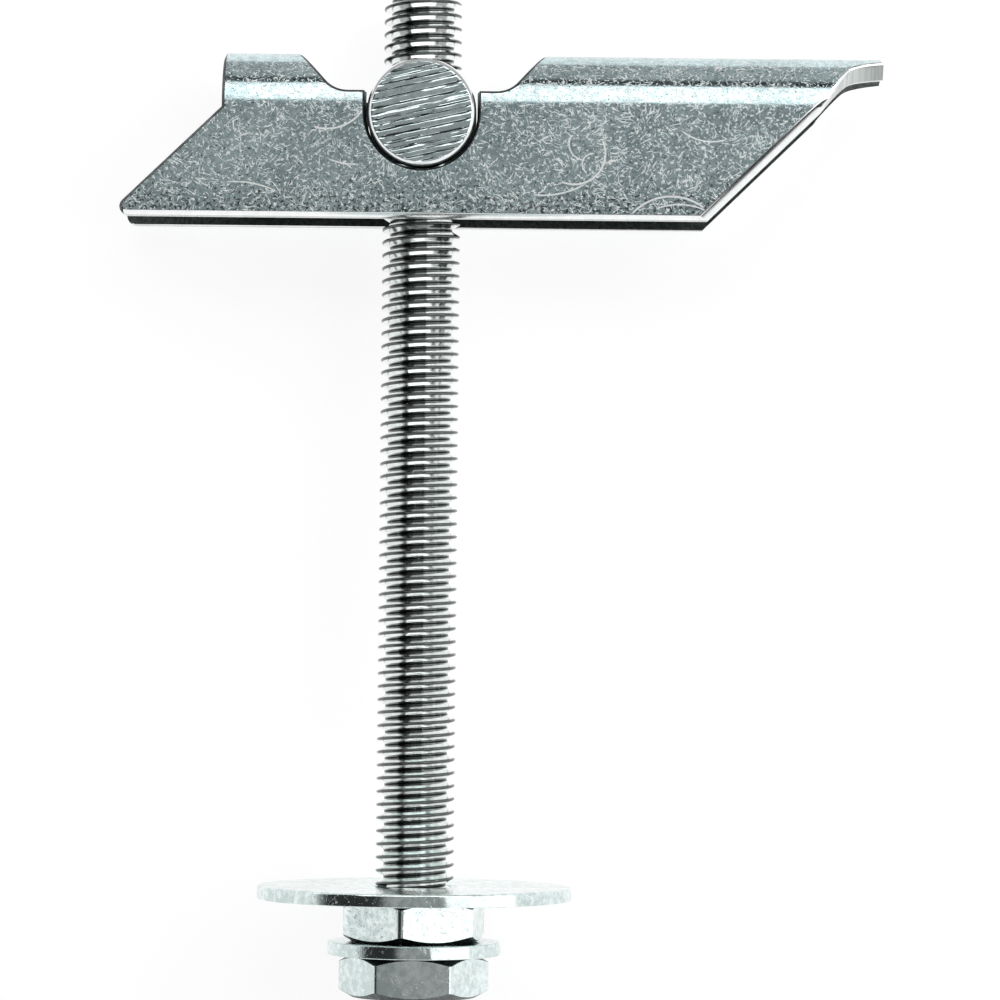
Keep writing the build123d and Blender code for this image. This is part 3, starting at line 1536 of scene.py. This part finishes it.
@dataclass
class ToggleBar:
    """The bar: one flat blank with a window and two slots, folded over the rod.

    A point of the blank is given by x along the bar and by v, its distance from the ridge
    along the outer face, positive on the upper flange. A roll is the width that the shear or
    the punch pulls in along an edge, and a drop is its depth. The roll profile gives shares
    of both, the nose steps are shares of the way up the fold, and a level is the least
    steepness at which a face still counts as lying flat.
    """

    node: str = "toggle_bar"
    body: str = "bar"
    sheet: float = 1.5 * MM
    outer_radius: float = 4.6 * MM
    fold_rise: float = 0.33 * MM
    flange_drop: float = 8.0 * MM
    light_arm: float = 23.8 * MM
    light_foot_round: float = 0.65 * MM
    heavy_arm: float = 21.75 * MM
    light_angle: float = math.radians(44.0)
    heavy_angle: float = math.radians(44.3)
    nose_reach: float = 35.25 * MM
    nose_width: float = 4.0 * MM
    nose_angle: float = math.radians(60.0)
    nose_flare: float = 1.5 * MM
    nose_steps: tuple[float, ...] = (0.0, 0.2, 0.4, 0.6, 0.7, 0.76, 0.82, 0.88, 0.94, 1.0)
    slot_radius: float = 4.42 * MM
    slot_taper: float = 0.2 * MM
    ledge_length: float = 2.25 * MM
    ledge_rise: float = 1.33 * MM
    window_angle: float = math.radians(50.0)
    window_round: float = 2.2 * MM
    heavy_roll: float = 0.72 * MM
    fold_roll: float = 0.18 * MM
    foot_roll: float = 0.36 * MM
    light_roll: float = 0.24 * MM
    slot_roll: float = 0.08 * MM
    window_roll: float = 0.2 * MM
    outer_drop: float = 0.4 * MM
    opening_drop: float = 0.1 * MM
    heavy_pull: float = 0.88
    nose_pull: float = -0.75
    pull_fade: float = 0.6 * MM
    pull_start: float = 0.7
    flange_fade: float = 1.2 * MM
    roll_start: float = 0.06 * MM
    roll_profile: tuple[Point, ...] = (
        (1.0, 0.0),
        (0.93, 0.02),
        (0.86, 0.07),
        (0.79, 0.14),
        (0.4, 0.54),
        (0.12, 0.84),
        (0.04, 0.95),
        (0.0, 1.1),
    )
    cut_depths: tuple[float, ...] = (0.6 * MM, 0.9 * MM, 1.2 * MM, 1.43 * MM, 1.45 * MM)
    burr: float = 0.05 * MM
    near: float = 0.02 * MM
    skin: float = 0.01 * MM
    window_reach: float = 10.0 * MM
    window_drop: float = 5.2 * MM
    window_level: float = 0.97
    cut_level: float = 0.2
    flat_level: float = 0.995
    slanted: float = 0.2
    sharp_over: float = 30.0
    fold_steps: int = 64
    slot_steps: int = 20
    round_steps: int = 8
    side_steps: int = 12

    @property
    def half_round(self) -> float:
        """Length of the outer face from the ridge to the start of a flange."""
        return self.outer_radius * math.pi / 2

    @property
    def nose_top(self) -> float:
        """Height of the nose's side edge above the start of the fold, along the outer face."""
        return self.half_round - self.nose_width / 2

    def nose_edge(self, height: float) -> float:
        """Where the heavy arm ends round the fold.

        Args:
            height: Height above the start of the fold's round, along the outer face.

        Returns:
            The place along the bar.
        """
        shoulder = self.heavy_arm + (self.flange_drop + self.fold_rise) / math.tan(self.heavy_angle)
        lean = 1.0 / math.tan(self.nose_angle)
        bend = (self.nose_reach - shoulder - self.nose_top * lean) / self.nose_flare**2
        return shoulder + height * lean + bend * max(0.0, height - self.nose_top + self.nose_flare) ** 2

    def blank(self) -> list[Point]:
        """Outer edge of the blank.

        Returns:
            The corners, anticlockwise.
        """
        rise = self.fold_rise + self.flange_drop
        edge = self.half_round + rise
        shoulder = -self.light_arm + rise / math.tan(self.light_angle)
        climb = [self.nose_top * share for share in self.nose_steps]
        lower = [(self.nose_edge(height), height - self.half_round) for height in climb]
        upper = [(x, -v) for x, v in reversed(lower)]
        corners = [(-self.light_arm, -edge), (self.heavy_arm, -edge), *lower, *upper, (self.heavy_arm, edge)]
        corners += [(-self.light_arm, edge), (shoulder, self.half_round), (shoulder, -self.half_round)]
        radii = [0.0] * len(corners)
        radii[0] = radii[-3] = self.light_foot_round
        return eased(corners, radii)

    def flat_quarter(self, slot: float) -> list[Point]:
        """A quarter of the opening as it shows on the flange: the slot, the ledge and its round.

        Args:
            slot: The slot's radius.

        Returns:
            Place along the bar and height on the rod of each corner.
        """
        ledge = self.fold_rise + self.ledge_rise
        foot = self.slot_radius + self.ledge_length - self.window_round * math.tan(self.window_angle / 2)
        turns = evenly(math.pi / 2, 0.0, self.slot_steps)
        made = [(slot * math.cos(turn), -slot * math.sin(turn)) for turn in turns]
        made += [(slot, self.fold_rise), (slot, (self.fold_rise + ledge) / 2), (slot, ledge)]
        for turn in evenly(0.0, self.window_angle, self.round_steps):
            rise = self.window_round * (1.0 - math.cos(turn))
            made.append((foot + self.window_round * math.sin(turn), ledge + rise))
        return made

    def opening(self, depth: float) -> list[Point]:
        """Edge of the window and of the two slots that open into it, cut square to the flanges.

        Args:
            depth: Depth below the outer face.

        Returns:
            The corners, anticlockwise.
        """
        flat = self.flat_quarter(self.slot_radius - self.slot_taper * depth / self.sheet)
        quarter = [(x, self.along(y, depth)) for x, y in flat]
        last_x, last_y = flat[-1]
        start = self.along(last_y, depth) / self.outer_radius
        for angle in evenly(start, 0.0, self.side_steps)[1:]:
            y = self.fold_rise + (self.outer_radius - depth) * math.cos(angle)
            quarter.append((last_x + (y - last_y) / math.tan(self.window_angle), angle * self.outer_radius))
        right = [(x, -v) for x, v in quarter] + quarter[-2::-1]
        return right + [(-x, v) for x, v in right[-2:0:-1]]

    def along(self, y: float, depth: float) -> float:
        """Distance from the ridge on the blank of a point of the folded sheet.

        Args:
            y: Height of the point on the rod.
            depth: Depth below the outer face.

        Returns:
            The distance along the outer face.
        """
        if y <= self.fold_rise:
            return self.half_round + self.fold_rise - y
        return self.outer_radius * math.acos(min((y - self.fold_rise) / (self.outer_radius - depth), 1.0))

    def on_flange(self, v: float) -> float:
        """How far a point has passed from the fold, 0, to a flange, 1."""
        return min(max((abs(v) - self.half_round) / self.flange_fade + 1.0, 0.0), 1.0)

    def outer_roll(self, place: Vector, normal: Vector) -> float:
        """Width that the shear has pulled in along the blank's outer edge.

        Args:
            place: Middle of a stretch of the edge.
            normal: Its outward normal.

        Returns:
            The width.
        """
        if normal.x > self.slanted:
            return self.fold_roll + (self.heavy_roll - self.fold_roll) * self.on_flange(place.y)
        return self.light_roll if normal.x < -self.slanted else self.foot_roll

    def opening_roll(self, place: Vector, normal: Vector) -> float:
        """Width that the punch has pulled in along the window, and less of it along the slots."""
        return self.window_roll if abs(place.x) > self.slot_radius + self.near else self.slot_roll

    def pulled(self, x: float, v: float, depth: float) -> float:
        """How far down a ring lies: deeper at the heavy end's slanted edges, and less deep at the nose.

        Args:
            x: Place along the bar.
            v: Distance from the ridge along the outer face.
            depth: The ring's depth elsewhere.

        Returns:
            The depth, the same at both faces of the sheet.
        """
        share = min(max((x - self.heavy_arm) / self.pull_fade + self.pull_start, 0.0), 1.0)
        pull = self.nose_pull + (self.heavy_pull - self.nose_pull) * self.on_flange(v)
        return depth * (1.0 + pull * share * (1.0 - depth / self.sheet))

    def stations(self, drop: float) -> list[Triple]:
        """The edge's section, from the outer face over the edge to the inner face.

        Args:
            drop: Depth of the rolled edge.

        Returns:
            For each ring, its share of the roll's width, a fixed inset and its depth.
        """
        made = [(1.0, self.roll_start, 0.0)]
        made += [(share, 0.0, drop * down) for share, down in self.roll_profile]
        made += [(0.0, 0.0, depth) for depth in self.cut_depths]
        return [*made, (0.0, self.burr, self.sheet), (0.0, 2 * self.burr, self.sheet)]

    def rings(self, bm: bmesh.types.BMesh, edge: Edge) -> list[list[bmesh.types.BMVert]]:
        """Lay the rings of one of the blank's edges and skin them.

        Args:
            bm: The mesh.
            edge: Which edge it is.

        Returns:
            The rings.
        """
        outer = edge is Edge.BLANK
        roll, drop = (self.outer_roll, self.outer_drop) if outer else (self.opening_roll, self.opening_drop)
        made = []
        for share, fixed, down in self.stations(drop):
            outline = self.blank() if outer else self.opening(down)
            corners = inset(outline, lambda place, normal: roll(place, normal) * share + fixed, edge.value)
            depths = [self.pulled(x, v, down) if outer else down for x, v in corners]
            made.append([bm.verts.new((x, v, -depth)) for (x, v), depth in zip(corners, depths)])
        for quad in quads(made):
            bm.faces.new(quad)
        return made

    def flat_sheet(self, bm: bmesh.types.BMesh) -> None:
        """Make the blank: its two edges, its two faces, and cuts across it that let it bend.

        Args:
            bm: The empty mesh.
        """
        edges = [self.rings(bm, edge) for edge in Edge]
        for end in (0, -1):
            rims = []
            for loop in (rings[end] for rings in edges):
                rims += [bm.edges.get((loop[i - 1], loop[i])) for i in range(len(loop))]
            bmesh.ops.triangle_fill(bm, use_beauty=True, use_dissolve=False, edges=rims)
        for v in evenly(-self.half_round, self.half_round, self.fold_steps):
            bmesh.ops.bisect_plane(
                bm,
                geom=[*bm.verts, *bm.edges, *bm.faces],
                dist=THREAD.same_plane,
                plane_co=(0, v, 0),
                plane_no=(0, 1, 0),
            )
        bm.normal_update()

    def surface(self, face: bmesh.types.BMFace) -> Surface:
        """Kind of surface that a face of the flat blank has.

        Args:
            face: The face.

        Returns:
            Its kind. The inner face, and the edges that are pulled in along the light end and the opening,
            get the painted shade.
        """
        centre = face.calc_center_median()
        level = abs(face.normal.z)
        inside = abs(centre.x) < self.window_reach and abs(centre.y) < self.half_round + self.window_drop
        if -centre.z > self.sheet - self.skin or (inside and level < self.window_level):
            return Surface.INSIDE
        if level < self.cut_level:
            return Surface.CUT
        if level >= self.flat_level:
            return Surface.OUTER
        # The light end's pulled edge gets the painted shade too.
        light_end = centre.x < 0.0 and abs(face.normal.x) > self.slanted
        return Surface.INSIDE if light_end else Surface.PULLED

    def folded(self, x: float, v: float, depth: float) -> Vector:
        """Where a point of the blank comes to lie.

        Args:
            x: Place along the bar.
            v: Distance from the ridge along the outer face.
            depth: Depth below the outer face.

        Returns:
            The point after folding.
        """
        r = self.outer_radius - depth
        if abs(v) <= self.half_round:
            angle = v / self.outer_radius
            return Vector((x, self.fold_rise + r * math.cos(angle), r * math.sin(angle)))
        side = 1.0 if v > 0 else -1.0
        return Vector((x, self.fold_rise - (abs(v) - self.half_round), side * r))

    def build(self) -> Piece:
        """Make the blank with its rolled edges, and fold it.

        Returns:
            The bar.
        """
        bm = bmesh.new()
        self.flat_sheet(bm)
        layer = bm.loops.layers.uv.new("blank")
        for face in bm.faces:
            face.material_index = self.surface(face).value
            for loop in face.loops:
                loop[layer].uv = loop.vert.co.xy
        for vertex in bm.verts:
            vertex.co = self.folded(vertex.co.x, vertex.co.y, -vertex.co.z)
        mesh = bpy.data.meshes.new("toggle_bar_folded")
        bm.to_mesh(mesh)
        bm.free()
        made = link(bpy.data.objects.new("toggle_bar_folded", mesh))
        shade(made, self.sharp_over)
        for kind in Surface:
            mesh.materials.append(BAR_FINISHES[kind].material())
        return dress(made, ZINC_SHEET, self.body, self.node)


# ---------------------------------------------------------------- studio


def matt(name: str, albedo: float, glow: float) -> bpy.types.Material:
    """Make a grey material without gloss that also gives light.

    Args:
        name: Its name.
        albedo: Its grey.
        glow: Brightness of its light.

    Returns:
        The material.
    """
    material = bpy.data.materials.new(name)
    material.use_nodes = True
    surface = material.node_tree.nodes["Principled BSDF"]
    surface.inputs["Base Color"].default_value = (albedo, albedo, albedo, 1.0)
    surface.inputs["Specular IOR Level"].default_value = 0.0
    surface.inputs["Emission Color"].default_value = (glow, glow, glow, 1.0)
    surface.inputs["Emission Strength"].default_value = 1.0
    return material


def direction(tilt: float, turn: float) -> Vector:
    """Direction from the anchor.

    Args:
        tilt: Angle from straight overhead in degrees.
        turn: Angle on the floor in degrees, from +X towards +Y.

    Returns:
        A unit vector.
    """
    t, a = math.radians(tilt), math.radians(turn)
    return Vector((math.sin(t) * math.cos(a), math.sin(t) * math.sin(a), math.cos(t)))


@dataclass
class RestingFloor:
    """A pale floor that rises under the anchor, so that it touches the large washer and the pin."""

    reach: float = 1.2
    albedo: float = 0.25
    glow: float = 0.87
    rough: float = 0.9
    ramp_low: float = -0.085
    ramp_high: float = 0.03
    margin: float = 0.05
    ease: float = 0.04
    steps: int = 60

    def build(self) -> None:
        """Make the floor and its material."""
        washer_low, washer_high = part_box("large_washer")
        pin_low, pin_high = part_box("cross_pin")
        contact = pin_high.y - CrossPin().chamfer
        slope = (pin_low.z - washer_low.z) / (contact - washer_high.y)
        lines = evenly(self.ramp_low - self.margin, self.ramp_high + self.margin, self.steps)
        lines = [-self.reach, *lines, self.reach]
        points = []
        for y in lines:
            z = washer_low.z + slope * (self.eased_height(y) - washer_high.y)
            points += [(-self.reach, y, z), (self.reach, y, z)]
        faces = [(2 * i, 2 * i + 1, 2 * i + 3, 2 * i + 2) for i in range(len(lines) - 1)]
        made = object_from("floor", points, faces)
        for face in made.data.polygons:
            face.use_smooth = True
        made.data.materials.append(self.material())

    def eased_height(self, y: float) -> float:
        """The ramp's height in terms of its slope: y on the ramp, level beyond it.

        Args:
            y: Place along Y.

        Returns:
            The place on an endless ramp that is as high.
        """
        if y < self.ramp_low:
            t = min((self.ramp_low - y) / self.ease, 1.0)
            return self.ramp_low - self.ease * (t - t * t / 2)
        if y > self.ramp_high:
            t = min((y - self.ramp_high) / self.ease, 1.0)
            return self.ramp_high + self.ease * (t - t * t / 2)
        return y

    def material(self) -> bpy.types.Material:
        """Matt white that keeps shadows, and shows white to the camera and in reflections.

        Returns:
            The material.
        """
        material = matt("floor_white", self.albedo, 1.0)
        sheet = NodeSheet(material.node_tree)
        surface = material.node_tree.nodes["Principled BSDF"]
        surface.inputs["Roughness"].default_value = self.rough
        rays = sheet.add("ShaderNodeLightPath")
        seen = sheet.math("MAXIMUM", rays.outputs["Is Camera Ray"], rays.outputs["Is Glossy Ray"])
        seen = sheet.math("MAXIMUM", seen, rays.outputs["Is Transmission Ray"])
        sheet.put(surface.inputs["Emission Strength"], sheet.math("MULTIPLY", seen, self.glow))
        return material


@dataclass(frozen=True)
class SoftBox:
    """A soft box that hangs in a direction from the anchor.

    Its size is its width across the tilt and its length along it.
    """

    name: str
    tilt: float
    turn: float
    size: Point
    radiance: float
    distance: float = 0.6

    def build(self) -> None:
        """Hang the soft box."""
        data = bpy.data.lights.new(self.name, "AREA")
        data.shape = "RECTANGLE"
        data.size, data.size_y = self.size
        data.energy = self.radiance * math.pi * self.size[0] * self.size[1]
        light = link(bpy.data.objects.new(self.name, data))
        way = direction(self.tilt, self.turn)
        light.location = way * self.distance
        light.rotation_euler = way.to_track_quat("Z", "Y").to_euler()


@dataclass(frozen=True)
class ReflectedCard:
    """An upright card that only reflections show.

    It is given by its middle, the direction that it stands in, its width and height, and its
    brightness.
    """

    name: str
    place: Triple
    turn: float
    size: Point
    tone: float

    def build(self) -> None:
        """Stand the card."""
        quat = direction(90.0, self.turn).to_track_quat("Z", "Y")
        w, h = self.size[0] / 2, self.size[1] / 2
        corners = [Vector(corner) for corner in ((-w, -h, 0), (w, -h, 0), (w, h, 0), (-w, h, 0))]
        points = [quat @ corner + Vector(self.place) for corner in corners]
        made = object_from(self.name, points, [(0, 1, 2, 3)])
        made.data.materials.append(matt(self.name, 0.0, self.tone))
        made.visible_camera = False
        made.visible_diffuse = False
        made.visible_shadow = False
        made.visible_transmission = False


@dataclass
class StudioLight:
    """Two soft boxes, two cards, and a dark room with a grey top and a white horizon.

    The bands are heights on the unit sphere, over which the horizon fades out and the top in.
    """

    zenith: float = 0.34
    gloom: float = 0.03
    horizon: float = 1.0
    horizon_band: Span = (0.15, 0.42)
    zenith_band: Span = (0.9, 0.965)
    lamps: tuple[SoftBox | ReflectedCard, ...] = (
        SoftBox("soft_box_top", 38.0, 90.0, (0.95, 0.36), 1.8),
        SoftBox("soft_box_right", 50.0, 8.0, (0.55, 0.62), 1.5),
        ReflectedCard("card_back", (0.006, 0.0185, -0.001), 90.0, (0.11, 0.0215), 0.42),
        ReflectedCard("card_front", (0.2, -0.46, 0.27), 270.0, (0.7, 0.26), 1.0),
    )

    def build(self) -> None:
        """Hang the boxes, stand the cards and set the world."""
        for lamp in self.lamps:
            lamp.build()
        world = bpy.data.worlds.new("studio")
        bpy.context.scene.world = world
        world.use_nodes = True
        sheet = NodeSheet(world.node_tree)
        height = sheet.split(sheet.add("ShaderNodeTexCoord").outputs["Generated"])[2]
        low = sheet.remap(height, self.horizon_band, (self.horizon, self.gloom))
        high = sheet.remap(height, self.zenith_band, (0.0, self.zenith - self.gloom))
        level = sheet.math("ADD", low, high)
        shades = sheet.add("ShaderNodeCombineColor")
        for channel in ("Red", "Green", "Blue"):
            sheet.put(shades.inputs[channel], level)
        sheet.put(world.node_tree.nodes["Background"].inputs["Color"], shades.outputs[0])


@dataclass
class LookDownCamera:
    """A camera that looks down on the anchor as it lies on the floor."""

    place: Triple = (4.52 * MM, -41.28 * MM, 315.0 * MM)
    lean: Triple = (2.195, -0.335, 0.555)
    lens: float = 148.18
    sensor: float = 36.0
    clip_start: float = 0.01

    def build(self) -> None:
        """Make the camera and give it to the scene."""
        data = bpy.data.cameras.new("camera")
        data.lens = self.lens
        data.sensor_width = self.sensor
        data.clip_start = self.clip_start
        camera = link(bpy.data.objects.new("camera", data))
        camera.location = self.place
        camera.rotation_euler = Euler([math.radians(a) for a in self.lean], "XYZ")
        bpy.context.scene.camera = camera


class TiltToggleAnchor:
    """The whole anchor, piece by piece."""

    makers = (
        ThreadedRod(),
        CrossPin(),
        ToggleBar(),
        FlatWasher("large_washer", "clamp_washer"),
        ThinNut("clamp_nut", "clamp_nut", math.radians(21.0)),
        FlatWasher("small_washer", "lock_washer", roll=0.12 * MM),
        ThinNut("lock_nut", "lock_nut", 0.0),
    )

    def build(self) -> None:
        """Build every piece and report it."""
        for maker in self.makers:
            piece = maker.build()
            log.info("%s: %d faces", piece.name, len(piece.data.polygons))


def main() -> None:
    """Build the anchor and the studio."""
    logging.basicConfig(level=logging.INFO, format="%(message)s")
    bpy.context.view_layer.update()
    TiltToggleAnchor().build()
    RestingFloor().build()
    StudioLight().build()
    LookDownCamera().build()
    bpy.context.scene.view_settings.view_transform = "Standard"


if __name__ == "__main__":
    main()
